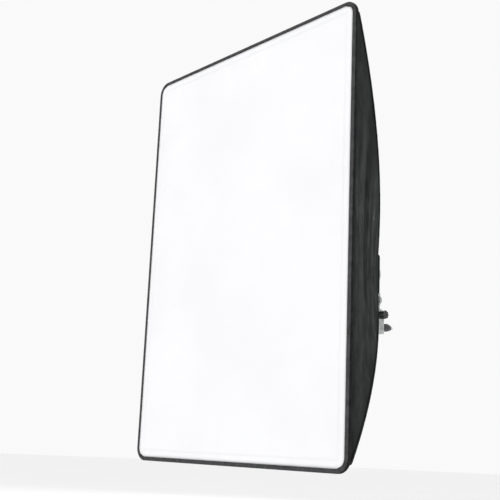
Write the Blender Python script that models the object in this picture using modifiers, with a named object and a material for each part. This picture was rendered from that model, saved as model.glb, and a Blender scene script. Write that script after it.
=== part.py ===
"""Rectangular studio softbox on an E27 lamp holder with a tilting light-stand bracket.

Metres, +Z up. The origin is the centre of the stand socket's mouth. The lit face points along -Y
and +X is on the right of somebody who stands in front of it. The lamp's axis runs along Y.
"""

from math import cos, pi, sin

import bmesh
import bpy
from mathutils import Matrix, Vector

# Driving dimensions
FACE_WIDTH = 0.500
FACE_HEIGHT = 0.700
LAMP_Z = 0.106  # lamp axis above the socket's mouth
FRONT_Y = -0.341
APEX_Y = -0.001  # where the four corner lines would meet behind the hub
ROD_BOW = 0.030  # how far a flexed rod stands off its chord, along Y
GAP = 0.0003  # between pieces that touch

CLOTH = 0.0012
SHELL_REAR = 0.115  # share of the way from the apex to the front corner
PANEL_INSET = 0.003
ROD_OFFSET = Vector((0.003, 0.0045, 0.003))
ROD_R = 0.0018
ROD_START, ROD_END = 0.076, 0.960
FERRULE_R, FERRULE_LENGTH = 0.0032, 0.016
POCKET_R, POCKET_LENGTH = 0.0034, 0.026

BINDING_WIDTH, BINDING_DEPTH, BINDING_CORNER = 0.009, 0.008, 0.022
TAPE_WIDTH, TAPE_THICK = 0.020, 0.0012
DIFFUSER_THICK, DIFFUSER_RECESS = 0.0012, 0.0008
COLLAR_LENGTH, COLLAR_WALL, COLLAR_CORNER = 0.008, 0.0015, 0.008

HUB_R, HUB_BORE_R = 0.0265, 0.0208
HUB_REAR_Y, HUB_DEPTH = -0.016, 0.014
HOLDER_R, HOLDER_WALL, HOLDER_SPLIT_Y = 0.0205, 0.0025, -0.040
SLEEVE_R, SLEEVE_BORE_R, SLEEVE_FRONT_Y = 0.0225, 0.0193, -0.078
CERAMIC_R, CERAMIC_BORE_R = 0.0190, 0.0143
CERAMIC_REAR_Y, CERAMIC_FLOOR_Y, CERAMIC_FRONT_Y = -0.0430, -0.0475, -0.0775
E27_SHELL_R, E27_SHELL_BORE_R, E27_CAP_R = 0.0139, 0.0135, 0.0131
BALLAST_R, BALLAST_REAR_Y, BALLAST_FRONT_Y = 0.029, -0.0781, -0.128
COIL_R, COIL_TUBE_R, COIL_TURNS, COIL_RISE = 0.0225, 0.0058, 3.25, 0.0131
SWITCH_X, SWITCH_Z = -0.0085, 0.004
ROCKER_TILT = 0.14  # radians, the rocker's rest position
GLAND_X, GLAND_Z, GLAND_BORE_R = 0.0100, 0.004, 0.0030

PIVOT_Z = 0.034
BLOCK = 0.024  # the stand casting is this wide along X and Y
SOCKET_R, SOCKET_DEPTH = 0.0082, 0.0225
FORK_SLOT, FORK_FLOOR_Z = 0.0108, 0.0245
TONGUE_R, TONGUE_WIDTH = 0.009, 0.010
EYE_Y, EYE_Z, EYE_R, EYE_HOLE_R, EYE_THICK = 0.005, -0.043, 0.010, 0.0055, 0.005
ARM_Z, ARM_THICK, ARM_WIDTH = -0.0315, 0.005, 0.012
FLANGE_WIDTH, FLANGE_THICK, FLANGE_TOP, FLANGE_FOOT = 0.024, 0.003, -0.009, -0.034
BRACKET_SCREW = (0.008, -0.0223)
M6_R, M6_HOLE_R = 0.0029, 0.0033
WASHER_R, WASHER_THICK = 0.0070, 0.0012
KNOB_R, KNOB_LENGTH, KNOB_LOBES = 0.0080, 0.0125, 8
CLAMP_Z, CLAMP_KNOB_R = 0.0150, 0.0078

UP, RIGHT, BACK = Vector((0, 0, 1)), Vector((1, 0, 0)), Vector((0, 1, 0))
CORNERS = {"tl": (-1, 1), "tr": (1, 1), "bl": (-1, -1), "br": (1, -1)}


# Scene, materials and object helpers


def clear_scene():
    for obj in list(bpy.data.objects):
        bpy.data.objects.remove(obj, do_unlink=True)


def new_collection(name):
    collection = bpy.data.collections.new(name)
    bpy.context.scene.collection.children.link(collection)
    return collection


def make_material(name, colour, roughness, metallic=0.0):
    material = bpy.data.materials.new(name)
    material.use_nodes = True
    shader = material.node_tree.nodes["Principled BSDF"]
    shader.inputs["Base Color"].default_value = (*colour, 1.0)
    shader.inputs["Roughness"].default_value = roughness
    shader.inputs["Metallic"].default_value = metallic
    return material


def make_materials():
    return {
        "black_nylon": make_material("black_nylon", (0.012, 0.012, 0.013), 0.55),
        "grey_binding": make_material("grey_binding", (0.045, 0.045, 0.047), 0.8),
        "white_cloth": make_material("white_cloth", (0.93, 0.93, 0.94), 0.8),
        "velcro": make_material("velcro", (0.02, 0.02, 0.02), 0.95),
        "spring_steel": make_material("spring_steel", (0.50, 0.50, 0.51), 0.3, 1.0),
        "cast_grey": make_material("cast_grey", (0.42, 0.43, 0.43), 0.45, 0.8),
        "black_plastic": make_material("black_plastic", (0.015, 0.015, 0.017), 0.4),
        "pale_plastic": make_material("pale_plastic", (0.62, 0.60, 0.70), 0.3),
        "zinc": make_material("zinc", (0.62, 0.62, 0.60), 0.3, 1.0),
        "brass": make_material("brass", (0.72, 0.55, 0.25), 0.3, 1.0),
        "ceramic": make_material("ceramic", (0.86, 0.85, 0.81), 0.25),
        "white_plastic": make_material("white_plastic", (0.85, 0.85, 0.84), 0.35),
        "lamp_glass": make_material("lamp_glass", (0.95, 0.95, 0.93), 0.15),
    }


def add_object(name, mesh, material=None, place=None, collection=None):
    obj = bpy.data.objects.new(name, mesh)
    if material:
        mesh.materials.append(material)
    if place:
        obj.matrix_world = place
    (collection or PARTS).objects.link(obj)
    return obj


def pose_along(point, direction, turn_about=UP):
    """Local +Z points along direction, with the origin at point."""
    direction = Vector(direction).normalized()
    side = turn_about if abs(direction.dot(turn_about)) < 0.9 else RIGHT
    x_axis = side.cross(direction).normalized()
    y_axis = direction.cross(x_axis)
    turn = Matrix((x_axis, y_axis, direction)).transposed().to_4x4()
    return Matrix.Translation(point) @ turn


def turned(name, profile, place, material=None, closed=False, steps=24, collection=None):
    """A turned solid: (radius, height) points down the outer side, about local +Z."""
    mesh = bpy.data.meshes.new(name)
    points = [(radius, 0.0, height) for radius, height in profile]
    edges = [(i, i + 1) for i in range(len(points) - 1)]
    if closed:
        edges.append((len(points) - 1, 0))
    mesh.from_pydata(points, edges, [])
    obj = add_object(name, mesh, material, place, collection)
    screw = obj.modifiers.new("Turn", "SCREW")
    screw.steps = screw.render_steps = steps
    screw.use_merge_vertices = True
    screw.merge_threshold = 0.00001
    screw.use_smooth_shade = True
    return obj


def rod_solid(name, radius, length, place, material=None, steps=24, collection=None):
    """A plain cylinder from the place's origin along its +Z."""
    profile = [(0, length), (radius, length), (radius, 0), (0, 0)]
    return turned(name, profile, place, material, steps=steps, collection=collection)


def tube_solid(name, outer, inner, length, place, material, steps=24):
    profile = [(outer, length), (outer, 0), (inner, 0), (inner, length)]
    return turned(name, profile, place, material, closed=True, steps=steps)


def box(name, low, high, material=None, bevel=0.0, collection=None):
    low, high = Vector(low), Vector(high)
    bm = bmesh.new()
    bmesh.ops.create_cube(bm, size=1.0)
    bmesh.ops.scale(bm, vec=high - low, verts=bm.verts)
    mesh = bpy.data.meshes.new(name)
    bm.to_mesh(mesh)
    bm.free()
    place = Matrix.Translation((low + high) / 2)
    obj = add_object(name, mesh, material, place, collection)
    if bevel:
        soften(obj, bevel)
    return obj


def soften(obj, width, segments=2):
    bevel = obj.modifiers.new("Soft edges", "BEVEL")
    bevel.width = width
    bevel.segments = segments
    bevel.limit_method = "ANGLE"
    bevel.harden_normals = False


def as_mesh(obj, name, material, collection=None):
    """The evaluated curve as a welded mesh object in the same place."""
    bpy.context.view_layer.update()
    evaluated = obj.evaluated_get(bpy.context.evaluated_depsgraph_get())
    mesh = bpy.data.meshes.new_from_object(evaluated)
    place = obj.matrix_world.copy()
    curve = obj.data
    bpy.data.objects.remove(obj, do_unlink=True)
    bpy.data.curves.remove(curve)
    bm = bmesh.new()
    bm.from_mesh(mesh)
    bmesh.ops.remove_doubles(bm, verts=bm.verts, dist=0.00002)
    bmesh.ops.recalc_face_normals(bm, faces=bm.faces)
    bm.to_mesh(mesh)
    bm.free()
    mesh.name = name
    mesh.materials.clear()
    return add_object(name, mesh, material, place, collection)


def slab(name, outlines, low, high, place, material, collection=None):
    """Closed outlines in local XY, the first one outside, filled and raised from low to high."""
    curve = bpy.data.curves.new(name, "CURVE")
    curve.dimensions = "2D"
    curve.fill_mode = "BOTH"
    curve.extrude = (high - low) / 2
    for outline in outlines:
        spline = curve.splines.new("POLY")
        spline.points.add(len(outline) - 1)
        for point, (x, y) in zip(spline.points, outline):
            point.co = (x, y, 0, 1)
        spline.use_cyclic_u = True
    middle = Matrix.Translation((0, 0, (low + high) / 2))
    obj = add_object(name, curve, None, place @ middle, collection)
    return as_mesh(obj, name, material, collection)


def arc(centre, radius, start, end, count):
    step = (end - start) / count
    return [
        (centre[0] + radius * cos(start + step * i), centre[1] + radius * sin(start + step * i))
        for i in range(count + 1)
    ]


def rounded_rectangle(half_x, half_y, radius, count=5):
    points = []
    for quarter, (sx, sy) in enumerate(((1, 1), (-1, 1), (-1, -1), (1, -1))):
        centre = (sx * (half_x - radius), sy * (half_y - radius))
        start = quarter * pi / 2
        points += arc(centre, radius, start, start + pi / 2, count)
    return points


def combine(obj, other, operation):
    boolean = obj.modifiers.new(operation.title(), "BOOLEAN")
    boolean.operation = operation
    boolean.object = other
    boolean.solver = "EXACT"
    other.hide_render = True
    other.display_type = "WIRE"


def cut(obj, *cutters):
    for cutter in cutters:
        combine(obj, cutter, "DIFFERENCE")


def join(obj, *others):
    for other in others:
        combine(obj, other, "UNION")


def hole(name, point, direction, radius, length, steps=24):
    place = pose_along(point, direction)
    return rod_solid(name, radius, length, place, steps=steps, collection=CUTTERS)


def joint_empty(name, point, children):
    """An empty on a joint's axis. The children keep their places."""
    empty = bpy.data.objects.new(name, None)
    empty.location = point
    empty.empty_display_size = 0.02
    PARTS.objects.link(empty)
    for child in children:
        child.parent = empty
        child.matrix_parent_inverse = Matrix.Translation(-Vector(point))
    return empty


# The tent: four rods, four cloth panels and the front rim


def corner_line(share, sign_x=1, sign_z=1):
    """A point on the seam between two panels, from the apex (0) to a front corner (1)."""
    chord = (APEX_Y - FRONT_Y) * (1 - share)
    bow = ROD_BOW * 4 * share * (1 - share)
    return Vector(
        (
            sign_x * share * FACE_WIDTH / 2,
            FRONT_Y + chord + bow,
            LAMP_Z + sign_z * share * FACE_HEIGHT / 2,
        )
    )


def share_at(y):
    """The share of the corner line that lies at this y, found by halving."""
    low, high = 0.0, 1.0
    for _ in range(40):
        middle = (low + high) / 2
        if corner_line(middle).y > y:
            low = middle
        else:
            high = middle
    return low


def rod_point(share, sign_x, sign_z):
    offset = Vector((sign_x * ROD_OFFSET.x, ROD_OFFSET.y, sign_z * ROD_OFFSET.z))
    return corner_line(share, sign_x, sign_z) - offset


def make_rod(corner, material, count=18):
    sign_x, sign_z = CORNERS[corner]
    curve = bpy.data.curves.new("rod_" + corner, "CURVE")
    curve.dimensions = "3D"
    curve.bevel_depth = ROD_R
    curve.bevel_resolution = 2
    curve.use_fill_caps = True
    spline = curve.splines.new("POLY")
    spline.points.add(count)
    for i, point in enumerate(spline.points):
        share = ROD_START + (ROD_END - ROD_START) * i / count
        point.co = (*rod_point(share, sign_x, sign_z), 1)
    curve.materials.append(material)
    rod = bpy.data.objects.new("rod_" + corner, curve)
    PARTS.objects.link(rod)
    return rod


def make_rod_socket(corner, material):
    """The ferrule on the hub that a rod springs from."""
    signs = CORNERS[corner]
    start = rod_point(ROD_START, *signs)
    along = (rod_point(ROD_START + 0.03, *signs) - start).normalized()
    place = pose_along(start - along * 0.0005, along)
    name = "rod_socket_" + corner
    return tube_solid(name, FERRULE_R, ROD_R + GAP, FERRULE_LENGTH, place, material, steps=16)


def make_corner_pocket(corner, material):
    """The closed sleeve in a front corner that holds a rod's tip."""
    signs = CORNERS[corner]
    tip = rod_point(ROD_END, *signs)
    along = (rod_point(ROD_END - 0.03, *signs) - tip).normalized()
    bore = ROD_R + 2 * GAP
    end = 0.002
    profile = [
        (0, 0),
        (bore, 0),
        (bore, POCKET_LENGTH),
        (POCKET_R, POCKET_LENGTH),
        (POCKET_R, -end),
        (0, -end),
    ]
    place = pose_along(tip - along * GAP, along)
    return turned("corner_pocket_" + corner, profile, place, material, steps=16)


def make_panel(name, across, rise, material, rows=14):
    """A ruled cloth panel: across and rise are its width and lift axes for a share of 1."""
    across, rise = Vector(across), Vector(rise)
    front = share_at(FRONT_Y + BINDING_DEPTH + CLOTH)
    bm = bmesh.new()
    lines = []
    for i in range(rows + 1):
        share = SHELL_REAR + (front - SHELL_REAR) * i / rows
        centre = Vector((0, corner_line(share).y, LAMP_Z)) + rise * share
        half = across * share - across.normalized() * PANEL_INSET
        lines.append([bm.verts.new(centre - half), bm.verts.new(centre + half)])
    for near, far in zip(lines, lines[1:]):
        bm.faces.new((near[0], near[1], far[1], far[0]))
    bmesh.ops.recalc_face_normals(bm, faces=bm.faces)
    bm.faces.ensure_lookup_table()
    if bm.faces[0].normal.dot(rise) < 0:
        bmesh.ops.reverse_faces(bm, faces=bm.faces)
    mesh = bpy.data.meshes.new(name)
    bm.to_mesh(mesh)
    bm.free()
    obj = add_object(name, mesh, material)
    shell = obj.modifiers.new("Cloth", "SOLIDIFY")
    shell.thickness = CLOTH
    shell.offset = -1.0
    return obj


def make_shell(mat):
    half_x, half_z = FACE_WIDTH / 2, FACE_HEIGHT / 2
    cloth = mat["black_nylon"]
    return [
        make_panel("shell_panel_top", (half_x, 0, 0), (0, 0, half_z), cloth),
        make_panel("shell_panel_bottom", (half_x, 0, 0), (0, 0, -half_z), cloth),
        make_panel("shell_panel_left", (0, 0, half_z), (-half_x, 0, 0), cloth),
        make_panel("shell_panel_right", (0, 0, half_z), (half_x, 0, 0), cloth),
    ]


def face_place(y):
    """Local X, Y and Z become the row's X, Z and -Y at this y on the lamp's axis."""
    return Matrix.Translation((0, y, LAMP_Z)) @ Matrix.Rotation(pi / 2, 4, "X")


def ring_outlines(half_x, half_z, corner, width, least_corner=0.003):
    inner_corner = max(corner - width, least_corner)
    return [
        rounded_rectangle(half_x, half_z, corner),
        rounded_rectangle(half_x - width, half_z - width, inner_corner),
    ]


def make_collar(mat):
    rear = corner_line(SHELL_REAR)
    half_x, half_z = rear.x - GAP, rear.z - LAMP_Z - GAP
    outlines = ring_outlines(half_x, half_z, COLLAR_CORNER, COLLAR_WALL)
    place = face_place(rear.y + GAP)
    return slab("rear_collar", outlines, -COLLAR_LENGTH, 0, place, mat["black_nylon"])


def make_front(mat):
    """The bound rim and its loop tape, then the diffuser and its hook tape."""
    half_x, half_z = FACE_WIDTH / 2, FACE_HEIGHT / 2
    place = face_place(FRONT_Y)
    rim = ring_outlines(half_x, half_z, BINDING_CORNER, BINDING_WIDTH)
    binding = slab("front_binding", rim, -BINDING_DEPTH, 0, place, mat["grey_binding"])
    seat_x, seat_z = half_x - BINDING_WIDTH - GAP, half_z - BINDING_WIDTH - GAP
    seat_corner = BINDING_CORNER - BINDING_WIDTH
    cloth = [rounded_rectangle(seat_x - GAP, seat_z - GAP, seat_corner)]
    depth = DIFFUSER_RECESS
    tape = ring_outlines(seat_x - GAP, seat_z - GAP, seat_corner, TAPE_WIDTH)
    diffuser = slab("diffuser", cloth, -depth - DIFFUSER_THICK, -depth, place, mat["white_cloth"])
    depth += DIFFUSER_THICK + GAP
    hooks = slab("hook_tape", tape, -depth - TAPE_THICK, -depth, place, mat["velcro"])
    depth += TAPE_THICK + GAP
    loops = slab("loop_tape", tape, -depth - TAPE_THICK, -depth, place, mat["velcro"])
    return [binding, loops], [diffuser, hooks]


# Hub, lamp holder and lamp, all turned about the lamp's axis


def lamp_place(y):
    """Local +Z points forward, towards the diffuser, from this y on the lamp's axis."""
    return pose_along((0, y, LAMP_Z), -BACK)


def turned_on_lamp(name, profile, material, closed=False, steps=24):
    """A profile of (radius, y) points, front end first, about the lamp's axis."""
    flipped = [(radius, -y) for radius, y in profile]
    return turned(name, flipped, lamp_place(0), material, closed, steps)


def make_hub(mat):
    front = HUB_REAR_Y - HUB_DEPTH
    hub = turned_on_lamp(
        "hub_ring",
        [(HUB_R, front), (HUB_R, HUB_REAR_Y), (HUB_BORE_R, HUB_REAR_Y), (HUB_BORE_R, front)],
        mat["cast_grey"],
        closed=True,
    )
    for side in (-1, 1):
        x, z = side * BRACKET_SCREW[0], LAMP_Z + BRACKET_SCREW[1]
        start = (x, HUB_REAR_Y + 0.001, z)
        cut(hub, hole(f"hub_screw_hole_{side}", start, -BACK, 0.0017, 0.010, steps=12))
    return hub


def make_holder(mat):
    black = mat["black_plastic"]
    inner = HOLDER_R - HOLDER_WALL
    floor = HUB_REAR_Y - HOLDER_WALL
    rear = turned_on_lamp(
        "holder_rear",
        [
            (0, floor),
            (inner, floor),
            (inner, HOLDER_SPLIT_Y),
            (HOLDER_R, HOLDER_SPLIT_Y),
            (HOLDER_R, HUB_REAR_Y),
            (0, HUB_REAR_Y),
        ],
        black,
    )
    switch_low = (SWITCH_X - 0.0049, floor - 0.001, LAMP_Z + SWITCH_Z - 0.0079)
    switch_high = (SWITCH_X + 0.0049, HUB_REAR_Y + 0.001, LAMP_Z + SWITCH_Z + 0.0079)
    cut(rear, box("switch_window", switch_low, switch_high, collection=CUTTERS))
    gland_start = (GLAND_X, HUB_REAR_Y + 0.001, LAMP_Z + GLAND_Z)
    cut(rear, hole("gland_hole", gland_start, -BACK, 0.0045, 0.005, steps=16))
    sleeve = turned_on_lamp(
        "holder_front",
        [
            (SLEEVE_R, SLEEVE_FRONT_Y),
            (SLEEVE_R, HOLDER_SPLIT_Y - GAP),
            (SLEEVE_BORE_R, HOLDER_SPLIT_Y - GAP),
            (SLEEVE_BORE_R, SLEEVE_FRONT_Y),
        ],
        black,
        closed=True,
    )
    soften(sleeve, 0.0008)
    return [rear, sleeve]


def make_socket(mat):
    ceramic = turned_on_lamp(
        "ceramic_socket",
        [
            (0, CERAMIC_FLOOR_Y),
            (CERAMIC_BORE_R, CERAMIC_FLOOR_Y),
            (CERAMIC_BORE_R, CERAMIC_FRONT_Y),
            (CERAMIC_R, CERAMIC_FRONT_Y),
            (CERAMIC_R, CERAMIC_REAR_Y),
            (0, CERAMIC_REAR_Y),
        ],
        mat["ceramic"],
    )
    shell_rear, shell_front = CERAMIC_FLOOR_Y - 0.003, CERAMIC_FRONT_Y + 0.001
    shell = tube_solid(
        "screw_shell",
        E27_SHELL_R,
        E27_SHELL_BORE_R,
        shell_rear - shell_front,
        lamp_place(shell_rear),
        mat["brass"],
    )
    contact_place = lamp_place(CERAMIC_FLOOR_Y - GAP)
    contact = rod_solid("centre_contact", 0.004, 0.0012, contact_place, mat["brass"], steps=16)
    return [ceramic, shell, contact]


def make_switch_and_gland(mat):
    """The rocker stands tilted one way in its bezel; the gland is an empty cable inlet."""
    centre_z = LAMP_Z + SWITCH_Z
    bezel_place = face_place(HUB_REAR_Y + GAP) @ Matrix.Translation((SWITCH_X, SWITCH_Z, 0))
    outer = rounded_rectangle(0.0062, 0.0090, 0.0012, 2)
    window = rounded_rectangle(0.0049, 0.0079, 0.0008, 2)
    bezel = slab("switch_bezel", [outer, window], -0.0012, 0, bezel_place, mat["black_plastic"])
    low = (SWITCH_X - 0.0045, HUB_REAR_Y - 0.0035, centre_z - 0.0070)
    high = (SWITCH_X + 0.0045, HUB_REAR_Y + 0.0020, centre_z + 0.0070)
    rocker = box("power_rocker", low, high, mat["black_plastic"], bevel=0.0006)
    rocker.rotation_euler.x = ROCKER_TILT
    gland_profile = [
        (0.0055, 0.0085),
        (0.0062, 0.0070),
        (0.0062, GAP),
        (0.0041, GAP),
        (0.0041, -0.0024),
        (GLAND_BORE_R, -0.0024),
        (GLAND_BORE_R, 0.0085),
    ]
    gland_place = pose_along((GLAND_X, HUB_REAR_Y, LAMP_Z + GLAND_Z), BACK)
    black = mat["black_plastic"]
    gland = turned("cable_gland", gland_profile, gland_place, black, closed=True, steps=16)
    return bezel, rocker, gland


def coil_points(per_turn=14):
    """One tube wound up as a double spiral: up one arm, over the middle and down the other."""
    pitch = 2 * COIL_RISE
    base_y = BALLAST_FRONT_Y - GAP
    leg = 0.008
    steps = int(per_turn * COIL_TURNS)
    arm = [(0.0, COIL_R, 0.0)]
    for i in range(steps + 1):
        turn = COIL_TURNS * i / steps
        arm.append((2 * pi * turn, COIL_R, leg + pitch * turn))
    top = leg + pitch * COIL_TURNS
    bridge_steps = 5
    for i in range(1, bridge_steps):
        ease = i / bridge_steps
        angle = 2 * pi * COIL_TURNS + ease * pi / 3
        arm.append((angle, COIL_R * (1 - ease**1.6), top + pitch * 0.30 * sin(ease * pi / 2)))

    def placed(angle, radius, rise):
        x, z = radius * cos(angle), radius * sin(angle)
        return Vector((x, base_y - rise, LAMP_Z + z))

    middle = Vector((0, base_y - top - pitch * 0.30, LAMP_Z))
    first = [placed(*step) for step in arm]
    second = [placed(angle + pi, radius, rise) for angle, radius, rise in arm]
    return first + [middle] + second[::-1]


def make_lamp(mat):
    cap = turned_on_lamp(
        "lamp_cap",
        [
            (0, BALLAST_REAR_Y + GAP),
            (E27_CAP_R, BALLAST_REAR_Y + GAP),
            (E27_CAP_R, -0.0550),
            (0.0115, -0.0530),
            (0.0050, -0.0505),
            (0.0040, -0.0494),
            (0, -0.0494),
        ],
        mat["zinc"],
    )
    ballast = turned_on_lamp(
        "lamp_ballast",
        [
            (0, BALLAST_FRONT_Y),
            (BALLAST_R - 0.002, BALLAST_FRONT_Y),
            (BALLAST_R, BALLAST_FRONT_Y + 0.002),
            (BALLAST_R, -0.106),
            (BALLAST_R - 0.004, -0.094),
            (0.0175, -0.084),
            (0.0160, BALLAST_REAR_Y - 0.0008),
            (0.0150, BALLAST_REAR_Y),
            (0, BALLAST_REAR_Y),
        ],
        mat["white_plastic"],
    )
    points = coil_points()
    curve = bpy.data.curves.new("lamp_tube", "CURVE")
    curve.dimensions = "3D"
    curve.bevel_depth = COIL_TUBE_R
    curve.bevel_resolution = 2
    curve.use_fill_caps = True
    spline = curve.splines.new("POLY")
    spline.points.add(len(points) - 1)
    for target, point in zip(spline.points, points):
        target.co = (*point, 1)
    curve.materials.append(mat["lamp_glass"])
    tube = bpy.data.objects.new("lamp_tube", curve)
    PARTS.objects.link(tube)
    return [cap, ballast, tube]


# Stand bracket with its tilt joint and clamp screw


def make_stand_bracket(mat):
    half = BLOCK / 2
    cheek_top = arc((0, PIVOT_Z), half, 0, pi, 12)
    outline = [(-half, 0), (half, 0)] + cheek_top
    side = Matrix(((0, 0, 1, 0), (1, 0, 0, 0), (0, 1, 0, 0), (0, 0, 0, 1)))
    block = slab("stand_bracket", [outline], -half, half, side, mat["cast_grey"])
    soften(block, 0.0015)
    fork_low = (-FORK_SLOT / 2, -BLOCK, FORK_FLOOR_Z)
    fork_high = (FORK_SLOT / 2, BLOCK, PIVOT_Z + BLOCK)
    cut(
        block,
        box("fork_slot", fork_low, fork_high, collection=CUTTERS),
        hole("stand_bore", (0, 0, -0.002), UP, SOCKET_R, SOCKET_DEPTH + 0.002),
        hole("clamp_hole", (0, 0, CLAMP_Z), BACK, M6_HOLE_R, BLOCK, steps=16),
        hole("stand_pivot_hole", (-BLOCK, 0, PIVOT_Z), RIGHT, M6_HOLE_R, 2 * BLOCK, steps=16),
    )
    return block


def make_head_bracket(mat):
    """One casting: flange on the hub, arm, eye, neck and the tongue in the fork."""
    tongue_start = (-TONGUE_WIDTH / 2, 0, PIVOT_Z)
    tongue_place = pose_along(tongue_start, RIGHT)
    bracket = rod_solid(
        "head_bracket", TONGUE_R, TONGUE_WIDTH, tongue_place, mat["cast_grey"], steps=32
    )
    half_neck, half_arm = TONGUE_WIDTH / 2, ARM_WIDTH / 2
    eye_z = LAMP_Z + EYE_Z
    neck = box(
        "neck_solid",
        (-half_neck + 0.0001, -0.0020, PIVOT_Z),
        (half_neck - 0.0001, 0.0080, eye_z - EYE_R + 0.0025),
        collection=CUTTERS,
    )
    eye_place = pose_along((0, EYE_Y - EYE_THICK / 2, eye_z), BACK)
    eye = rod_solid("eye_solid", EYE_R, EYE_THICK, eye_place, steps=32, collection=CUTTERS)
    arm_z = LAMP_Z + ARM_Z
    flange_rear = HUB_REAR_Y + GAP + FLANGE_THICK
    arm = box(
        "arm_solid",
        (-half_arm, flange_rear - 0.001, arm_z - ARM_THICK / 2),
        (half_arm, EYE_Y + EYE_THICK / 2 - 0.0002, arm_z + ARM_THICK / 2),
        collection=CUTTERS,
    )
    flange = box(
        "flange_solid",
        (-FLANGE_WIDTH / 2, HUB_REAR_Y + GAP, LAMP_Z + FLANGE_FOOT),
        (FLANGE_WIDTH / 2, flange_rear, LAMP_Z + FLANGE_TOP),
        collection=CUTTERS,
    )
    join(bracket, neck, eye, arm, flange)
    cut(
        bracket,
        hole("eye_hole", (0, EYE_Y - 0.01, eye_z), BACK, EYE_HOLE_R, 0.02),
        hole("tongue_hole", (-BLOCK, 0, PIVOT_Z), RIGHT, M6_HOLE_R, 2 * BLOCK, steps=16),
    )
    for side in (-1, 1):
        x, z = side * BRACKET_SCREW[0], LAMP_Z + BRACKET_SCREW[1]
        start = (x, HUB_REAR_Y - 0.002, z)
        cut(bracket, hole(f"flange_hole_{side}", start, BACK, 0.0017, 0.01, steps=12))
    return bracket


def make_bracket_screws(mat):
    """The two pan-head screws through the flange into the hub."""
    seat = HUB_REAR_Y + 2 * GAP + FLANGE_THICK
    profile = [
        (0, 0.0018),
        (0.0018, 0.0018),
        (0.0028, 0.0008),
        (0.0028, 0),
        (0.0014, 0),
        (0.0014, -0.010),
        (0, -0.010),
    ]
    screws = []
    for name, side in (("bracket_screw_left", -1), ("bracket_screw_right", 1)):
        point = (side * BRACKET_SCREW[0], seat, LAMP_Z + BRACKET_SCREW[1])
        screws.append(turned(name, profile, pose_along(point, BACK), mat["zinc"], steps=12))
    return screws


def make_tilt_bolt(mat):
    half = BLOCK / 2
    head = 0.0042
    start = (-half - GAP - head, 0, PIVOT_Z)
    shank = rod_solid(
        "tilt_bolt", M6_R, head + 2 * half + 0.0095, pose_along(start, RIGHT), mat["zinc"], 16
    )
    hexagon = rod_solid(
        "bolt_head_solid", 0.0057, head, pose_along(start, RIGHT), steps=6, collection=CUTTERS
    )
    join(shank, hexagon)
    return shank


def make_tilt_knob(mat):
    half = BLOCK / 2
    washer_x = half + GAP
    washer = tube_solid(
        "tilt_washer",
        WASHER_R,
        M6_HOLE_R,
        WASHER_THICK,
        pose_along((washer_x, 0, PIVOT_Z), RIGHT),
        mat["zinc"],
        steps=20,
    )
    knob_x = washer_x + WASHER_THICK + GAP
    count = 6 * KNOB_LOBES
    outline = []
    for i in range(count):
        angle = 2 * pi * i / count
        radius = KNOB_R - 0.0007 + 0.0007 * cos(KNOB_LOBES * angle)
        outline.append((radius * cos(angle), radius * sin(angle)))
    place = pose_along((knob_x, 0, PIVOT_Z), RIGHT)
    knob = slab("tilt_knob", [outline], 0, KNOB_LENGTH, place, mat["black_plastic"])
    soften(knob, 0.0008)
    start = (knob_x - 0.002, 0, PIVOT_Z)
    cut(knob, hole("knob_bore", start, RIGHT, M6_HOLE_R, 0.0108, steps=16))
    return washer, knob


def make_clamp(mat):
    """Pressure pad, screw, bullet-shaped knob and the knob's pale end, along +Y."""
    pad_y = SOCKET_R + 0.0004
    pad = rod_solid(
        "clamp_pad", M6_R, 0.0014, pose_along((0, pad_y, CLAMP_Z), BACK), mat["brass"], 16
    )
    screw_y = pad_y + 0.0014 + GAP
    screw = rod_solid(
        "clamp_screw", M6_R, 0.0250, pose_along((0, screw_y, CLAMP_Z), BACK), mat["zinc"], 16
    )
    knob_y = 0.0165
    bore_depth = screw_y + 0.0250 + GAP - knob_y
    r = CLAMP_KNOB_R
    profile = [
        (0, 0.0255),
        (0.0046, 0.0255),
        (0.0062, 0.0215),
        (r, 0.0150),
        (r, 0.0050),
        (0.0060, 0.0010),
        (0.0050, 0),
        (M6_HOLE_R, 0),
        (M6_HOLE_R, bore_depth),
        (0, bore_depth),
    ]
    place = pose_along((0, knob_y, CLAMP_Z), BACK)
    knob = turned("clamp_knob", profile, place, mat["black_plastic"])
    tip_profile = [
        (0, 0.0340),
        (0.0018, 0.0336),
        (0.0034, 0.0310),
        (0.0045, 0.0255 + GAP),
        (0, 0.0255 + GAP),
    ]
    tip = turned("clamp_knob_tip", tip_profile, place, mat["pale_plastic"])
    return pad, screw, knob, tip


# Assembly

clear_scene()
PARTS = new_collection("strip_softbox")
CUTTERS = new_collection("softbox_cutters")


def main():
    mat = make_materials()
    make_stand_bracket(mat)
    make_tilt_bolt(mat)
    washer, tilt_knob = make_tilt_knob(mat)
    pad, screw, clamp_knob, tip = make_clamp(mat)
    joint_empty("tilt_knob_axis", (BLOCK / 2, 0, PIVOT_Z), [washer, tilt_knob])
    joint_empty("clamp_axis", (0, BLOCK / 2, CLAMP_Z), [pad, screw, clamp_knob, tip])

    bezel, rocker, gland = make_switch_and_gland(mat)
    rim, front_cloth = make_front(mat)
    lamp = make_lamp(mat)
    head = [make_head_bracket(mat), make_hub(mat), bezel, gland]
    head += make_bracket_screws(mat) + make_holder(mat) + make_socket(mat) + make_shell(mat) + rim
    head.append(make_collar(mat))
    for corner in CORNERS:
        head.append(make_rod(corner, mat["spring_steel"]))
        head.append(make_rod_socket(corner, mat["zinc"]))
        head.append(make_corner_pocket(corner, mat["black_nylon"]))
    joint_empty("head_tilt_axis", (0, 0, PIVOT_Z), head + front_cloth)
    joint_empty("lamp_axis", (0, BALLAST_REAR_Y, LAMP_Z), lamp)
    joint_empty("rocker_axis", (SWITCH_X, HUB_REAR_Y, LAMP_Z + SWITCH_Z), [rocker])


main()
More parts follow.
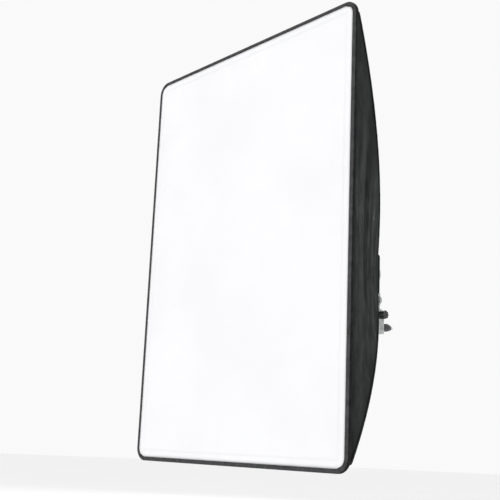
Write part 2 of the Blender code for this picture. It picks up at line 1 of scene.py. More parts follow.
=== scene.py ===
"""Looks of the softbox: sewn shell, bound rim, diffuser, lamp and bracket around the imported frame."""

from math import copysign, cos, exp, pi, radians, sin, sqrt

import bmesh
import bpy
import numpy as np
from mathutils import Matrix, Vector, noise


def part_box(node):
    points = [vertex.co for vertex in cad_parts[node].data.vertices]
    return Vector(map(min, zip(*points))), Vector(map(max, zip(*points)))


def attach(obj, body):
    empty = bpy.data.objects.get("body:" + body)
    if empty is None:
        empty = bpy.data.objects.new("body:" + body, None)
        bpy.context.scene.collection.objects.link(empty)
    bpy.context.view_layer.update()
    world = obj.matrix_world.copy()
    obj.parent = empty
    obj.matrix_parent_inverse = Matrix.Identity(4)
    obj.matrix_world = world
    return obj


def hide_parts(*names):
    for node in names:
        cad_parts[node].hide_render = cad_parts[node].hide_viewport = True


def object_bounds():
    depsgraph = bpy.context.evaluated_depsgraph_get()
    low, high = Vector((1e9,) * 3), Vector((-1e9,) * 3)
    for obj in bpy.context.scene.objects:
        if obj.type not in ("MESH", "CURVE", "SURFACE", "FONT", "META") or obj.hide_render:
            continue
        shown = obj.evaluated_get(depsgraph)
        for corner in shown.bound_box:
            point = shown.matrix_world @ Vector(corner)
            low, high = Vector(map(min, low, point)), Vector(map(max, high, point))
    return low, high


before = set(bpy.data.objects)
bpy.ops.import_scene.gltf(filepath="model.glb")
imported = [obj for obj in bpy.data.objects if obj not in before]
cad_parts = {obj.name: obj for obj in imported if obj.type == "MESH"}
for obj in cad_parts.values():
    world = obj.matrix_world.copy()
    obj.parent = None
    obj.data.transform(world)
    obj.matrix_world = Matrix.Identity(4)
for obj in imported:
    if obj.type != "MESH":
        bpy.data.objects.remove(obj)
cad_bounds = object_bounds()

# Sizes read from the frame, in metres
RIM_LOW, RIM_HIGH = (Vector(corner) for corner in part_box("front_binding"))
COLLAR_LOW, COLLAR_HIGH = (Vector(corner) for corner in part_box("rear_collar"))
DIFFUSER_LOW, DIFFUSER_HIGH = (Vector(corner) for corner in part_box("diffuser"))
HALF_X = (RIM_HIGH.x - RIM_LOW.x) / 2
HALF_Z = (RIM_HIGH.z - RIM_LOW.z) / 2
LAMP_Z = (RIM_HIGH.z + RIM_LOW.z) / 2
FRONT_Y, BINDING_DEPTH = RIM_LOW.y, RIM_HIGH.y - RIM_LOW.y
BINDING_WIDTH = HALF_X - DIFFUSER_HIGH.x
ROD_BOW = 0.030  # how far a flexed rod stands off its chord, along Y
GAP = 0.0003  # between the collar and the shell
# A share is 0 where the corner lines would meet behind the hub and 1 at the rim
SHARE_REAR = (COLLAR_HIGH.x + GAP) / HALF_X
CHORD = (COLLAR_LOW.y - FRONT_Y - 4 * ROD_BOW * SHARE_REAR * (1 - SHARE_REAR)) / (1 - SHARE_REAR)
SEAM_SHARE_FRONT = 0.985
ROUND_SHARE = 0.958  # from here forward the shell's corners round off to meet the rim's
CORNER_R = 0.022
LAP = 0.003  # the diffuser's edge lies this far over the binding's inner lip
TAPE_WIDTH, TAPE_INNER_R, TAPE_CURL = 0.020, 0.0015, 0.00045
BINDING_SWELL = 0.00025
POCKET_R = 0.0034
STITCH_INSET, STITCH_PITCH, STITCH_LENGTH = 0.0062, 0.0042, 0.0028


# Materials


class Look:
    """A Principled material whose colour, roughness and bump come from nodes."""

    def __init__(self, name, roughness, metallic=0.0, **direct):
        self.material = bpy.data.materials.new(name)
        self.material.use_nodes = True
        self.nodes = self.material.node_tree.nodes
        self.links = self.material.node_tree.links
        self.shader = self.nodes["Principled BSDF"]
        self.shader.inputs["Roughness"].default_value = roughness
        self.shader.inputs["Metallic"].default_value = metallic
        for socket, value in direct.items():
            self.shader.inputs[socket.replace("_", " ")].default_value = value
        self.normal = None

    def node(self, kind, inputs=(), **settings):
        made = self.nodes.new(kind)
        for key, value in settings.items():
            setattr(made, key, value)
        for socket, value in dict(inputs).items():
            if isinstance(value, bpy.types.NodeSocket):
                self.links.new(value, made.inputs[socket])
            else:
                made.inputs[socket].default_value = value
        return made

    def place(self, output="Object"):
        return self.node("ShaderNodeTexCoord").outputs[output]

    def noise(self, scale, detail=3.0, output="Object", stretch=None, rough=0.5):
        vector = self.place(output)
        if stretch:
            scaled = {"Vector": vector, "Scale": stretch}
            vector = self.node("ShaderNodeMapping", scaled).outputs["Vector"]
        settings = {"Vector": vector, "Scale": scale, "Detail": detail, "Roughness": rough}
        return self.node("ShaderNodeTexNoise", settings).outputs["Fac"]

    def math(self, operation, first, second=0.0):
        return self.node("ShaderNodeMath", {0: first, 1: second}, operation=operation).outputs[0]

    def between(self, factor, low, high, start=0.35, end=0.65):
        inputs = {"Value": factor, "From Min": start, "From Max": end, "To Min": low, "To Max": high}
        return self.node("ShaderNodeMapRange", inputs).outputs["Result"]

    def colour(self, factor, first, second, start=0.35, end=0.65):
        ramp = self.node("ShaderNodeValToRGB", {"Fac": factor})
        ramp.color_ramp.elements[0].position = start
        ramp.color_ramp.elements[0].color = (*first, 1)
        ramp.color_ramp.elements[1].position = end
        ramp.color_ramp.elements[1].color = (*second, 1)
        self.links.new(ramp.outputs["Color"], self.shader.inputs["Base Color"])

    def roughness(self, factor, low, high, start=0.35, end=0.65):
        self.links.new(self.between(factor, low, high, start, end), self.shader.inputs["Roughness"])

    def bump(self, height, distance, strength=1.0):
        inputs = {"Height": height, "Distance": distance, "Strength": strength}
        if self.normal:
            inputs["Normal"] = self.normal
        self.normal = self.node("ShaderNodeBump", inputs).outputs["Normal"]
        self.links.new(self.normal, self.shader.inputs["Normal"])

    def threads(self, period, grid=None):
        """A plain weave over the UV map, whose units are metres, with a ripstop grid if asked."""
        parts = self.node("ShaderNodeSeparateXYZ", {"Vector": self.place("UV")}).outputs
        waves = []
        for axis in ("X", "Y"):
            turns = self.math("MULTIPLY", parts[axis], 2 * pi / period)
            waves.append(self.math("SINE", turns))
        weave = self.math("MULTIPLY", *waves)
        if not grid:
            return weave
        for axis in ("X", "Y"):
            turns = self.math("MULTIPLY", parts[axis], 2 * pi / grid)
            line = self.math("GREATER_THAN", self.math("SINE", turns), 0.985)
            weave = self.math("ADD", weave, line)
        return weave


def nylon_look():
    """Black satin nylon: a fine ripstop weave, with soft grey-green streaks of painted sheen in its
    colour.
    """
    look = Look("black_nylon_cloth", 0.42, Sheen_Weight=0.006, Sheen_Roughness=0.4)
    look.shader.inputs["Specular IOR Level"].default_value = 0.002
    # painted sheen: lighter grey-green streaks in the colour stand in for the satin's highlights and
    # reflections
    painted_sheen_streaks = look.noise(6.5, 2.0, stretch=(1.8, 1.4, 0.22))
    look.colour(painted_sheen_streaks, (0.0040, 0.0042, 0.0045), (0.0330, 0.0370, 0.0365), 0.42, 0.76)
    look.roughness(look.noise(30.0), 0.34, 0.50)
    look.bump(look.threads(0.0009, grid=0.006), 0.00008, 0.5)
    look.bump(look.noise(260.0, 2.0), 0.0002, 0.25)
    return look.material


def silver_look():
    look = Look("silver_lining", 0.35, 0.85, Specular_IOR_Level=0.6)
    look.colour(look.noise(60.0), (0.56, 0.57, 0.58), (0.74, 0.75, 0.76))
    look.roughness(look.noise(90.0), 0.28, 0.45)
    look.bump(look.noise(180.0, 4.0), 0.0006, 0.6)
    look.bump(look.threads(0.0009, grid=0.006), 0.00006, 0.4)
    return look.material


def tape_look(name, dark, light, period=0.0011, rough=0.75):
    look = Look(name, rough, Sheen_Weight=0.04, Sheen_Roughness=0.5)
    look.shader.inputs["Specular IOR Level"].default_value = 0.02
    ribs = look.threads(period)
    look.colour(look.noise(120.0), dark, light)
    look.roughness(look.noise(200.0), rough - 0.1, rough + 0.08)
    look.bump(ribs, 0.00018, 0.7)
    return look.material


def diffuser_look():
    """White diffusion cloth with a turned hem, sewn down with a row of stitches."""
    width = DIFFUSER_HIGH.x - DIFFUSER_LOW.x + 2 * LAP
    height = DIFFUSER_HIGH.z - DIFFUSER_LOW.z + 2 * LAP
    hem, stitch_row, stitch_half, stitch_pitch = 0.0130, 0.0115, 0.0005, 0.004
    look = Look("white_diffusion_cloth", 0.75, Sheen_Weight=0.15, Subsurface_Weight=0.15)
    look.shader.inputs["Subsurface Radius"].default_value = (0.004, 0.004, 0.004)
    look.colour(look.noise(7.0), (0.872, 0.872, 0.892), (0.902, 0.902, 0.916))
    look.roughness(look.noise(40.0), 0.68, 0.82)
    look.bump(look.threads(0.0008), 0.00005, 0.35)
    parts = look.node("ShaderNodeSeparateXYZ", {"Vector": look.place("UV")}).outputs
    across = look.math("PINGPONG", parts["X"], width / 2)
    along = look.math("PINGPONG", parts["Y"], height / 2)
    edge = look.math("MINIMUM", across, along)
    look.bump(look.between(edge, 1.0, 0.0, hem, hem + 0.0012), 0.0006, 0.6)
    turns = look.math("MULTIPLY", look.math("ADD", parts["X"], parts["Y"]), 2 * pi / stitch_pitch)
    dashes = look.math("GREATER_THAN", look.math("SINE", turns), -0.3)
    off_row = look.math("ABSOLUTE", look.math("SUBTRACT", edge, stitch_row))
    in_row = look.math("LESS_THAN", off_row, stitch_half)
    look.bump(look.math("MULTIPLY", dashes, in_row), 0.0005, 0.8)
    return look.material


def velcro_look():
    look = Look("hook_and_loop", 0.95, Sheen_Weight=0.06)
    look.shader.inputs["Specular IOR Level"].default_value = 0.10
    look.colour(look.noise(900.0), (0.008, 0.008, 0.008), (0.035, 0.035, 0.036))
    look.roughness(look.noise(500.0), 0.85, 1.0)
    look.bump(look.noise(1200.0, 2.0), 0.0008, 1.0)
    return look.material


def metal_look(name, dark, light, low, high, grain=250.0, stretch=None, bump=0.0001):
    look = Look(name, low, 1.0)
    look.colour(look.noise(grain * 0.3, 4.0), dark, light)
    look.roughness(look.noise(grain, 3.0, stretch=stretch), low, high)
    look.bump(look.noise(grain, 4.0, stretch=stretch), bump, 0.5)
    return look.material


def cast_look():
    """Tumbled die-cast alloy with a fine pitted skin and polished high spots."""
    look = Look("cast_alloy", 0.45, 0.75)
    look.colour(look.noise(90.0, 5.0), (0.30, 0.31, 0.31), (0.52, 0.53, 0.53))
    look.roughness(look.noise(160.0, 3.0), 0.34, 0.58)
    look.bump(look.noise(700.0, 3.0), 0.0003, 0.5)
    look.bump(look.noise(60.0, 2.0), 0.0006, 0.15)
    return look.material


def plastic_look(name, dark, light, low, high, grain=900.0, **direct):
    look = Look(name, low, **direct)
    look.colour(look.noise(35.0, 4.0), dark, light)
    look.roughness(look.noise(120.0), low, high)
    look.bump(look.noise(grain, 2.0), 0.0002, 0.3)
    return look.material


def make_looks():
    black, soft_black = (0.008, 0.008, 0.010), (0.018, 0.018, 0.021)
    return {
        "nylon": nylon_look(),
        "silver": silver_look(),
        "binding": tape_look("grey_binding_tape", (0.048, 0.048, 0.050), (0.078, 0.078, 0.081)),
        "seam": tape_look("black_seam_tape", (0.008, 0.008, 0.009), (0.018, 0.018, 0.019)),
        "thread": tape_look("sewing_thread", (0.030, 0.030, 0.031), (0.060, 0.060, 0.061), 0.0004),
        "diffuser": diffuser_look(),
        "velcro": velcro_look(),
        "cast": cast_look(),
        "steel": metal_look("spring_rod_steel", (0.38, 0.38, 0.39), (0.55, 0.55, 0.56), 0.22, 0.38),
        "zinc": metal_look("zinc_plate", (0.52, 0.52, 0.50), (0.68, 0.68, 0.65), 0.18, 0.36),
        "brass": metal_look("brass_sheet", (0.56, 0.40, 0.15), (0.78, 0.60, 0.28), 0.20, 0.36),
        "black": plastic_look("black_plastic", black, soft_black, 0.32, 0.48),
        # painted highlight: this pale lilac colour stands in for a highlight on the black knob's far
        # wing
        "pale": plastic_look("pale_plastic", (0.46, 0.45, 0.58), (0.66, 0.64, 0.74), 0.18, 0.32),
        "ceramic": plastic_look("glazed_ceramic", (0.80, 0.79, 0.74), (0.88, 0.87, 0.83), 0.12, 0.28),
        "white": plastic_look("white_plastic", (0.78, 0.78, 0.76), (0.86, 0.86, 0.85), 0.28, 0.42),
        "glass": plastic_look(
            "phosphor_glass", (0.90, 0.90, 0.87), (0.95, 0.95, 0.93), 0.08, 0.2, Coat_Weight=0.6
        ),
    }


# Mesh helpers


def add_piece(name, mesh, materials, body="head"):
    obj = bpy.data.objects.new(name, mesh)
    for material in materials:
        mesh.materials.append(material)
    bpy.context.scene.collection.objects.link(obj)
    mesh.shade_smooth()
    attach(obj, body)
    return obj


def loft(name, rows, materials, uvs=None, closed=False, body="head"):
    """A sheet through rows of points. closed joins each row's last point to its first."""
    count = len(rows[0])
    points = [tuple(point) for row in rows for point in row]
    spans = count if closed else count - 1
    faces = []
    corners = []
    for i in range(len(rows) - 1):
        for j in range(spans):
            k = (j + 1) % count
            faces.append((i * count + j, (i + 1) * count + j, (i + 1) * count + k, i * count + k))
            corners.append(((i, j), (i + 1, j), (i + 1, j + 1), (i, j + 1)))
    mesh = bpy.data.meshes.new(name)
    mesh.from_pydata(points, [], faces)
    if uvs:
        layer = mesh.uv_layers.new(name="weave")
        spots = (spot for four in corners for spot in four)
        for loop, (i, j) in zip(layer.data, spots):
            loop.uv = uvs(i, j)
    return add_piece(name, mesh, materials, body)


def thicken(obj, thickness, offset=-1.0, lining=0):
    """Gives a sheet its thickness. With lining 1, its inner face takes the next material slot."""
    shell = obj.modifiers.new("Cloth", "SOLIDIFY")
    shell.thickness = thickness
    shell.offset = offset
    shell.material_offset = lining
    shell.use_even_offset = False


def shell_y(share):
    """Where the shell's seam lies along Y, on the bowed line from the rim to the hub."""
    return FRONT_Y + CHORD * (1 - share) + 4 * ROD_BOW * share * (1 - share)


def shell_slope(share):
    return -CHORD + 4 * ROD_BOW * (1 - 2 * share)


def ripple(a, b, c=0.0):
    """Smooth noise within -1 to 1, the same on every run."""
    return noise.noise(Vector((a, b, c)))


# The sewn shell: one cloth with four panels and a silver back

SIDES = (  # lift direction, run direction, lift and run for a share of 1
    (Vector((0, 0, 1)), Vector((1, 0, 0)), HALF_Z, HALF_X),
    (Vector((1, 0, 0)), Vector((0, 0, -1)), HALF_X, HALF_Z),
    (Vector((0, 0, -1)), Vector((-1, 0, 0)), HALF_Z, HALF_X),
    (Vector((-1, 0, 0)), Vector((0, 0, 1)), HALF_X, HALF_Z),
)
SHELL_ROWS, SIDE_STEPS = 72, 30
PULL_IN = 0.010
PULL_START = 0.12  # the share over which the pull-in grows from the rear opening
FOLD_DEPTH, CREASE_DEPTH = 0.0030, 0.0010  # broad folds, then finer ones
PUCKER_DEPTH, PUCKER_REACH, PUCKER_START = 0.0009, 0.016, 0.003  # beside the seams
CALM_FRONT, CALM_REAR = 0.08, 0.06  # shares over which folds die out at the shell's ends
CLOTH_THICK, SEAM_THICK, COLLAR_THICK, DIFFUSER_THICK = 0.0008, 0.0006, 0.0011, 0.0004
SEAM_LEAN = Vector((0, 0.8, 0))  # turns the tapes' outward direction towards the back
PANEL_SLANT = 0.47  # metres of cloth from the meeting point to the rim


def row_share(row):
    return SHARE_REAR + (SEAM_SHARE_FRONT - SHARE_REAR) * row / SHELL_ROWS


def spread_across(step):
    """Columns of the shell lie closer together towards the seams."""
    return sin(pi / 2 * (-1 + 2 * step / SIDE_STEPS))


def shell_point(side, across, share):
    """A point on a panel: across runs from -1 to 1, and the cloth is pulled in between seams."""
    lift, run, lift_full, run_full = SIDES[side]
    run_at, lift_at = run_full * share * across, lift_full * share
    radius = CORNER_R * max(0.0, (share - ROUND_SHARE) / (SEAM_SHARE_FRONT - ROUND_SHARE))
    from_corner = (1 - abs(across)) * run_full * share
    if from_corner < radius:
        angle = pi / 4 * (1 - from_corner / radius)
        run_at = copysign(run_full * share - radius + radius * sin(angle), across)
        lift_at += radius * (cos(angle) - 1)
    base = lift * lift_at + run * run_at
    slope = Vector((lift_full, shell_slope(share)))
    slope.normalize()
    normal = lift * -slope.y + Vector((0, 1, 0)) * slope.x
    free = 1 - across * across
    calm = min(1.0, (SEAM_SHARE_FRONT - share) / CALM_FRONT)
    calm = max(calm * min(1.0, (share - SHARE_REAR) / CALM_REAR), 0.0)
    depth = PULL_IN * free * 4 * share * (1 - share)
    depth *= min(1.0, (share - SHARE_REAR) / PULL_START)
    run_m = across * run_full * share
    depth += FOLD_DEPTH * calm * free * ripple(share * 9 + side * 5, run_m * 2.6, 2.0)
    depth += CREASE_DEPTH * calm * free * ripple(share * 26 + side * 3, run_m * 7, 6.0)
    pucker = exp(-from_corner / PUCKER_REACH) * min(1.0, from_corner / PUCKER_START)
    depth += PUCKER_DEPTH * calm * pucker * ripple(share * 55, side * 9.0, across)
    point = base - normal * depth
    point.y += shell_y(share)
    point.z += LAMP_Z
    return point


def make_shell(looks):
    rows = []
    for i in range(SHELL_ROWS + 1):
        row = []
        for side in range(4):
            for j in range(SIDE_STEPS):
                row.append(shell_point(side, spread_across(j), row_share(i)))
        rows.append(row)

    def weave(i, j):
        side, step = divmod(j, SIDE_STEPS)
        run_full = SIDES[side % 4][3]
        across = side * 1.0 + spread_across(step) * run_full * row_share(i)
        return (across, PANEL_SLANT * row_share(i))

    shell = loft("shell_cloth", rows, [looks["nylon"], looks["silver"]], weave, closed=True)
    thicken(shell, CLOTH_THICK, lining=1)
    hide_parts("shell_panel_top", "shell_panel_bottom", "shell_panel_left", "shell_panel_right")
    return shell


def make_seams(looks):
    """Binding tape folded over each corner seam of the shell."""
    half_width, lift_off = 0.0065, 0.0008
    near, middle, far = 0.1, 0.33, 0.66  # columns, as parts of the tape's half width
    seams = []
    for side, corner in enumerate(("tr", "br", "bl", "tl")):
        rows = []
        for i in range(SHELL_ROWS + 1):
            share = row_share(i)
            step = half_width / (SIDES[side][3] * share)
            other_step = half_width / (SIDES[side][2] * share)
            after = (side + 1) % 4
            row = []
            for fraction in (1.0, far, middle, near):
                row.append(shell_point(side, 1 - step * fraction, share))
            for fraction in (near, middle, far, 1.0):
                row.append(shell_point(after, -1 + other_step * fraction, share))
            outward = (SIDES[side][0] + SIDES[after][0] + SEAM_LEAN).normalized()
            wobble = 1 + 0.25 * ripple(share * 60, side * 3.0)
            row = [point + outward * (lift_off * wobble) for point in row]
            rows.append(row)
        seam = loft(
            "corner_seam_" + corner, rows, [looks["seam"]], lambda i, j: (j * 0.0018, i * 0.006)
        )
        thicken(seam, SEAM_THICK, offset=1.0)
        seams.append(seam)
    return seams


# Rim, tapes, rod pockets, collar and diffuser


def rim_path(half_x, half_z, radius, straight=48, turn=9):
    """Points and outward directions round a rounded rectangle, counterclockwise from the front."""
    path = []
    quarters = ((1, 1, 0), (-1, 1, 90), (-1, -1, 180), (1, -1, 270))
    for index, (sx, sz, start) in enumerate(quarters):
        centre = Vector((sx * (half_x - radius), 0, sz * (half_z - radius)))
        for k in range(turn + 1):
            angle = radians(start + 90 * k / turn)
            out = Vector((cos(angle), 0, sin(angle)))
            path.append((centre + out * radius, out))
        nx, nz, _ = quarters[(index + 1) % 4]
        following = Vector((nx * (half_x - radius), 0, nz * (half_z - radius)))
        out = path[-1][1]
        begin, end = path[-1][0], following + out * radius
        for k in range(1, straight):
            path.append((begin.lerp(end, k / straight), out))
    return path


def arc(cx, cy, radius, start, steps=5):
    """A quarter turn of (inward, back) points round a centre."""
    angles = [radians(start + 90 * k / steps) for k in range(steps + 1)]
    return [(cx + radius * cos(angle), cy + radius * sin(angle)) for angle in angles]


def make_binding(looks):
    """Ribbed tape folded over the rim, with a low inner lip that the diffuser's edge lies on."""
    width, depth = BINDING_WIDTH, BINDING_DEPTH
    radius, crest, step_back = 0.0022, BINDING_WIDTH - LAP, 0.0016
    section = arc(radius, radius, radius, 180)
    section += [(crest * 0.6, 0.0), (crest - 0.0008, 0.0), (crest - 0.0002, 0.0003), (crest, 0.0008)]
    section += [(crest, step_back), (width - 0.0006, step_back), (width, step_back + 0.0006)]
    section += arc(width - radius, depth - radius, radius, 0)
    section += arc(radius, depth - radius, radius, 90)
    path = rim_path(HALF_X, HALF_Z, CORNER_R)
    rows = []
    for point, out in path:
        swell = BINDING_SWELL * ripple(point.x * 60, point.z * 60, 1.0)
        row = []
        for inward, back in section:
            place = point - out * max(inward + (swell if inward > width / 2 else 0), 0)
            row.append(Vector((place.x, FRONT_Y + back + abs(swell), place.z + LAMP_Z)))
        rows.append(row)
    rows.append(rows[0])
    binding = loft(
        "rim_binding", rows, [looks["binding"], looks["seam"]],
        lambda i, j: (j * 0.0016, i * 0.006), closed=True,
    )
    grey_faces = range(2, 18)  # along the section, the tape's front and inner side
    for face in binding.data.polygons:
        if face.index % len(section) not in grey_faces:
            face.material_index = 1
    weld = binding.modifiers.new("Join", "WELD")
    weld.merge_threshold = 0.00002
    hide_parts("front_binding")
    return binding


def tape_section(width, thick, steps=12, lip=0.00035):
    """(inward, back) points round a flat tape with rounded edges."""
    section = []
    for part in range(steps + 1):
        section.append((lip + (width - 2 * lip) * part / steps, 0.0))
    section.append((width, thick / 2))
    for part in range(steps + 1):
        section.append((width - lip - (width - 2 * lip) * part / steps, thick))
    section.append((0.0, thick / 2))
    return section


def make_edge_tape(looks, node, name, body):
    """One half of the hook-and-loop fastening: a 20 mm tape sewn round the opening."""
    low, high = (Vector(corner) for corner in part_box(node))
    half_x, half_z, thick = high.x, high.z - LAMP_Z, high.y - low.y
    outer = rim_path(half_x, half_z, CORNER_R - BINDING_WIDTH)
    inner = rim_path(half_x - TAPE_WIDTH, half_z - TAPE_WIDTH, TAPE_INNER_R)
    rows = []
    for (out_point, _), (in_point, _) in zip(outer, inner):
        row = []
        for inward, back in tape_section(TAPE_WIDTH, thick):
            part = inward / TAPE_WIDTH
            place = out_point.lerp(in_point, part)
            curl = TAPE_CURL * (1 - part) * part * ripple(place.x * 30, place.z * 30, 4.0)
            row.append(Vector((place.x, low.y + back + curl, place.z + LAMP_Z)))
        rows.append(row)
    rows.append(rows[0])
    tape = loft(
        name, rows, [looks["velcro"]], lambda i, j: (j * 0.0016, i * 0.006), closed=True, body=body
    )
    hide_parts(node)
    return tape


def make_pocket(looks, corner):
    """A webbing sleeve, sewn shut at the front, that holds the tip of a rod."""
    node = "corner_pocket_" + corner
    points = np.array([vertex.co[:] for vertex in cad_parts[node].data.vertices])
    centre = points.mean(axis=0)
    axis = np.linalg.svd(points - centre)[2][0]
    axis = axis if axis[1] > 0 else -axis
    spread = (points - centre) @ axis
    along, centre = Vector(axis), Vector(centre)
    front, back = float(spread.min()), float(spread.max())
    side = along.cross(Vector((0, 0, 1))).normalized()
    across = along.cross(side)
    # (part of the length, share of the radius): the shut end, the ribbed body, the turned lip
    profile = [(0.0, 0.0002), (0.02, 0.60), (0.07, 0.90), (0.14, 0.97)]
    profile += [(0.14 + 0.74 * k / 14, 0.94 + 0.03 * sin(k * 2.1)) for k in range(1, 15)]
    profile += [(0.90, 1.0), (0.94, 1.0), (0.985, 1.0), (1.0, 0.92), (0.995, 0.76), (0.90, 0.72)]
    rows = []
    for part, share in profile:
        row = []
        for k in range(24):
            angle = 2 * pi * k / 24
            wrinkle = 1 + 0.035 * ripple(part * 16, cos(angle) * 2, sin(angle) * 2)
            reach = POCKET_R * min(share * wrinkle, 1.0)
            place = centre + along * (front + (back - front) * part)
            row.append(place + side * (reach * cos(angle)) + across * (reach * sin(angle)))
        rows.append(row)
    pocket = loft(
        "rod_pocket_" + corner, rows, [looks["seam"]], lambda i, j: (j * 0.0009, i * 0.0014),
        closed=True,
    )
    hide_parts(node)
    return pocket


def make_stitches(looks, name, path, y, pitch, length, width=0.00045):
    """A row of short thread dashes along a path of (point, outward) pairs."""
    bm = bmesh.new()
    spent = 0.0
    for (here, out), (after, _) in zip(path, path[1:] + path[:1]):
        run = after - here
        spent += run.length
        while spent > pitch:
            spent -= pitch
            middle = after - run.normalized() * spent
            along = run.normalized()
            turn = Matrix((along, out, along.cross(out))).transposed().to_4x4()
            place = Matrix.Translation((middle.x, y, middle.z + LAMP_Z)) @ turn
            size = Matrix.Diagonal((length, width, width * 0.8, 1))
            bmesh.ops.create_cube(bm, size=1.0, matrix=place @ size)
    mesh = bpy.data.meshes.new(name)
    bm.to_mesh(mesh)
    bm.free()
    stitches = add_piece(name, mesh, [looks["thread"]])
    return stitches


def make_collar(looks):
    """The elastic hem that gathers the shell's rear opening round the hub."""
    half_x, half_z = COLLAR_HIGH.x, COLLAR_HIGH.z - LAMP_Z
    inset, gather_depth, steps = 0.0006, 0.0006, 8
    path = rim_path(half_x - inset, half_z - inset, 0.008, straight=30, turn=10)
    length = COLLAR_HIGH.y - COLLAR_LOW.y
    square = rim_path(half_x, half_z, 0.0008, straight=30, turn=10)  # meets the shell's corners
    rows = [[Vector((point.x, COLLAR_LOW.y - inset, point.z + LAMP_Z)) for point, _ in square]]
    for step in range(steps + 1):
        part = step / steps
        row = []
        for index, (point, out) in enumerate(path):
            gather = gather_depth * sin(index * 1.9) * sin(pi * min(part * 1.4, 1))
            place = point - out * (inset + gather * 0.8)
            row.append(Vector((place.x, COLLAR_LOW.y + length * part, place.z + LAMP_Z)))
        rows.append(row)
    collar = loft(
        "collar_hem", rows, [looks["nylon"]], lambda i, j: (j * 0.0018, i * 0.001), closed=True
    )
    thicken(collar, COLLAR_THICK)
    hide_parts("rear_collar")
    return collar


def make_diffuser(looks):
    """White cloth held by its edges, with soft gathers that run in from the hem."""
    half_x, half_z = DIFFUSER_HIGH.x + LAP, DIFFUSER_HIGH.z - LAMP_Z + LAP
    radius = CORNER_R - BINDING_WIDTH + LAP
    columns, lines = 96, 136
    billow_reach, billow_depth = 0.12, 0.0022
    held_reach, gather_reach = 0.016, 0.040  # how far in the edge is held still, and gathers run
    gather_depth, wave_depth = 0.0026, 0.0006
    rows = []
    for i in range(lines + 1):
        z = half_z - 2 * half_z * i / lines
        past = max(0.0, abs(z) - (half_z - radius))
        reach = half_x - (radius - sqrt(max(radius * radius - past * past, 0.0)))
        row = []
        for j in range(columns + 1):
            x = reach * (-1 + 2 * j / columns)
            edge_x, edge_z = half_x - abs(x), half_z - abs(z)
            free = min(1.0, edge_x / billow_reach) * min(1.0, edge_z / billow_reach)
            billow = billow_depth * sin(free * pi / 2)
            held = min(1.0, min(edge_x, edge_z) / held_reach)
            gather = ripple(x * 38, 3.0, edge_z * 9) * exp(-edge_z / gather_reach)
            gather += ripple(z * 38, 8.0, edge_x * 9) * exp(-edge_x / gather_reach)
            wave = gather_depth * held * gather + wave_depth * held * ripple(x * 6, z * 6, 5.0)
            y = DIFFUSER_LOW.y + DIFFUSER_THICK - billow + wave
            row.append(Vector((x, y, z + LAMP_Z)))
        rows.append(row)
    cell_x, cell_z = 2 * half_x / columns, 2 * half_z / lines
    cloth = loft(
        "diffuser_cloth", rows, [looks["diffuser"]], lambda i, j: (j * cell_x, i * cell_z),
        body="diffuser",
    )
    thicken(cloth, DIFFUSER_THICK, offset=1.0)
    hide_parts("diffuser")


# Lamp


def make_lamp_tube(looks):
    """The double spiral as a smooth round tube, through the CAD tube's own route."""
    rear_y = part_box("lamp_tube")[1][1]
    tube_r, radius, rise, turns, leg = 0.0058, 0.0225, 0.0131, 3.25, 0.008
    per_turn = 30
    steps = int(per_turn * turns)
    arm = [(0.0, radius, 0.0)]
    arm += [
        (2 * pi * turns * i / steps, radius, leg + 2 * rise * turns * i / steps)
        for i in range(steps + 1)
    ]
    top = leg + 2 * rise * turns
    for i in range(1, 10):
        ease = i / 10
        reach = radius * (1 - ease**1.6)
        arm.append((2 * pi * turns + ease * pi / 3, reach, top + 0.6 * rise * sin(ease * pi / 2)))

    def placed(angle, reach, up):
        return (reach * cos(angle), rear_y - up, LAMP_Z + reach * sin(angle))

    points = [placed(*step) for step in arm]
    points.append((0, rear_y - top - 0.6 * rise, LAMP_Z))
    points += [placed(angle + pi, reach, up) for angle, reach, up in reversed(arm)]
    curve = bpy.data.curves.new("lamp_spiral", "CURVE")
    curve.dimensions = "3D"
    curve.bevel_depth = tube_r
    curve.bevel_resolution = 4
    curve.use_fill_caps = True
    spline = curve.splines.new("POLY")
    spline.points.add(len(points) - 1)
    for target, point in zip(spline.points, points):
        target.co = (*point, 1)
    spline.use_smooth = True
    curve.materials.append(looks["glass"])
    tube = bpy.data.objects.new("lamp_spiral", curve)
    bpy.context.scene.collection.objects.link(tube)
    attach(tube, "lamp")
    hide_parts("lamp_tube")


# CAD nodes that stay

NODE_LOOKS = {
    "cast": ("stand_bracket", "head_bracket", "hub_ring"),
    "zinc": (
        "tilt_bolt", "tilt_washer", "clamp_screw", "bracket_screw_left", "bracket_screw_right",
        "lamp_cap", "rod_socket_tl", "rod_socket_tr", "rod_socket_bl", "rod_socket_br",
    ),
    "black": (
        "tilt_knob", "clamp_knob", "holder_rear", "holder_front", "switch_bezel", "power_rocker",
        "cable_gland",
    ),
    # painted highlight: the knob's tip takes the pale colour that stands in for a highlight
    "pale": ("clamp_knob_tip",),
    "brass": ("clamp_pad", "screw_shell", "centre_contact"),
    "ceramic": ("ceramic_socket",),
    "white": ("lamp_ballast",),
    "steel": ("rod_tl", "rod_tr", "rod_bl", "rod_br"),
}
# Edge radii of the looks whose CAD nodes get softened edges
BEVELLED = {"cast": 0.0005, "black": 0.0004, "zinc": 0.0002, "ceramic": 0.0004, "white": 0.0006}


def dress_nodes(looks):
    for look, names in NODE_LOOKS.items():
        for name in names:
            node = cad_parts[name]
            node.data.materials.clear()
            node.data.materials.append(looks[look])
            if look in BEVELLED:
                bevel = node.modifiers.new("Edge", "BEVEL")
                bevel.width = BEVELLED[look]
                bevel.segments = 2
                bevel.limit_method = "ANGLE"
                bevel.angle_limit = radians(38)
                bevel.harden_normals = True


# Stage, light and camera


FLOOR_DROP = 0.27  # clears the tilted head with its diffuser drawn off
FLOOR_RADIUS = 14.0  # metres


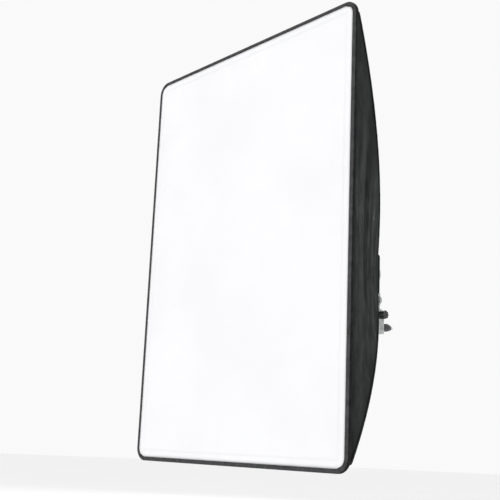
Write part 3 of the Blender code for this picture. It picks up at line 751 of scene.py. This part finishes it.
def make_stage():
    floor_z = cad_bounds[0][2] - FLOOR_DROP
    bm = bmesh.new()
    bmesh.ops.create_circle(bm, cap_ends=True, segments=96, radius=FLOOR_RADIUS)
    mesh = bpy.data.meshes.new("studio_floor")
    bm.to_mesh(mesh)
    bm.free()
    floor = bpy.data.objects.new("studio_floor", mesh)
    floor.location.z = floor_z
    bpy.context.scene.collection.objects.link(floor)
    look = Look("studio_paper", 0.9)
    look.colour(look.noise(2.0), (0.915, 0.915, 0.915), (0.925, 0.925, 0.925))
    mesh.materials.append(look.material)


def add_light(name, location, target, energy, size):
    data = bpy.data.lights.new(name, "AREA")
    data.energy = energy
    data.size = size
    light = bpy.data.objects.new(name, data)
    light.location = location
    aim = Vector(target) - Vector(location)
    light.rotation_euler = aim.to_track_quat("-Z", "Y").to_euler()
    bpy.context.scene.collection.objects.link(light)


def make_lights():
    centre = (0, -0.2, LAMP_Z)
    add_light("key", (-1.2, -2.6, 1.8), centre, 10, 1.6)
    add_light("fill", (2.6, -0.9, 0.9), centre, 12, 1.4)
    add_light("rear_edge", (-2.0, 2.2, 1.6), centre, 45, 1.2)
    bpy.context.scene.view_settings.view_transform = "Standard"
    world = bpy.data.worlds.new("studio_air")
    bpy.context.scene.world = world
    world.use_nodes = True
    background = world.node_tree.nodes["Background"]
    background.inputs["Color"].default_value = (1, 1, 1, 1)
    background.inputs["Strength"].default_value = 0.95


# The camera's bearing from the face, in degrees: azimuth 0 looks along +Y, and it stands below
CAMERA_AZIMUTH, CAMERA_ELEVATION, CAMERA_ROLL = 49.00, -12.21, 2.43
CAMERA_OFFSET = Vector((-0.0200, 0.0066, -1.4684))  # face centre in the camera's own axes
CAMERA_LENS = 64.8  # millimetres


def make_camera():
    azimuth, elevation = radians(CAMERA_AZIMUTH), radians(CAMERA_ELEVATION)
    roll = radians(CAMERA_ROLL)
    back = Vector((sin(azimuth) * cos(elevation), -cos(azimuth) * cos(elevation), sin(elevation)))
    level = Vector((0, 0, 1)).cross(back).normalized()
    upright = back.cross(level)
    right = level * cos(roll) + upright * sin(roll)
    up = upright * cos(roll) - level * sin(roll)
    turn = Matrix((right, up, back)).transposed()
    face_centre = Vector((0, FRONT_Y, LAMP_Z))
    data = bpy.data.cameras.new("camera")
    data.lens = CAMERA_LENS
    data.sensor_width = 36
    camera = bpy.data.objects.new("camera", data)
    camera.matrix_world = Matrix.Translation(face_centre - turn @ CAMERA_OFFSET) @ turn.to_4x4()
    bpy.context.scene.collection.objects.link(camera)
    bpy.context.scene.camera = camera


def main():
    looks = make_looks()
    make_camera()
    dress_nodes(looks)
    shell = make_shell(looks)
    hems = make_seams(looks)
    hems.append(make_binding(looks))
    hems.append(make_edge_tape(looks, "loop_tape", "loop_tape_sewn", "head"))
    hems += [make_pocket(looks, corner) for corner in ("tl", "tr", "bl", "br")]
    hems.append(
        make_stitches(
            looks, "rim_stitches",
            rim_path(HALF_X - STITCH_INSET, HALF_Z - STITCH_INSET, CORNER_R - STITCH_INSET),
            FRONT_Y - 0.00005, STITCH_PITCH, STITCH_LENGTH,
        )
    )
    collar = make_collar(looks)
    hooks = make_edge_tape(looks, "hook_tape", "hook_tape_sewn", "diffuser")
    make_diffuser(looks)
    make_lamp_tube(looks)
    make_stage()
    make_lights()


main()
bpy.context.view_layer.update()
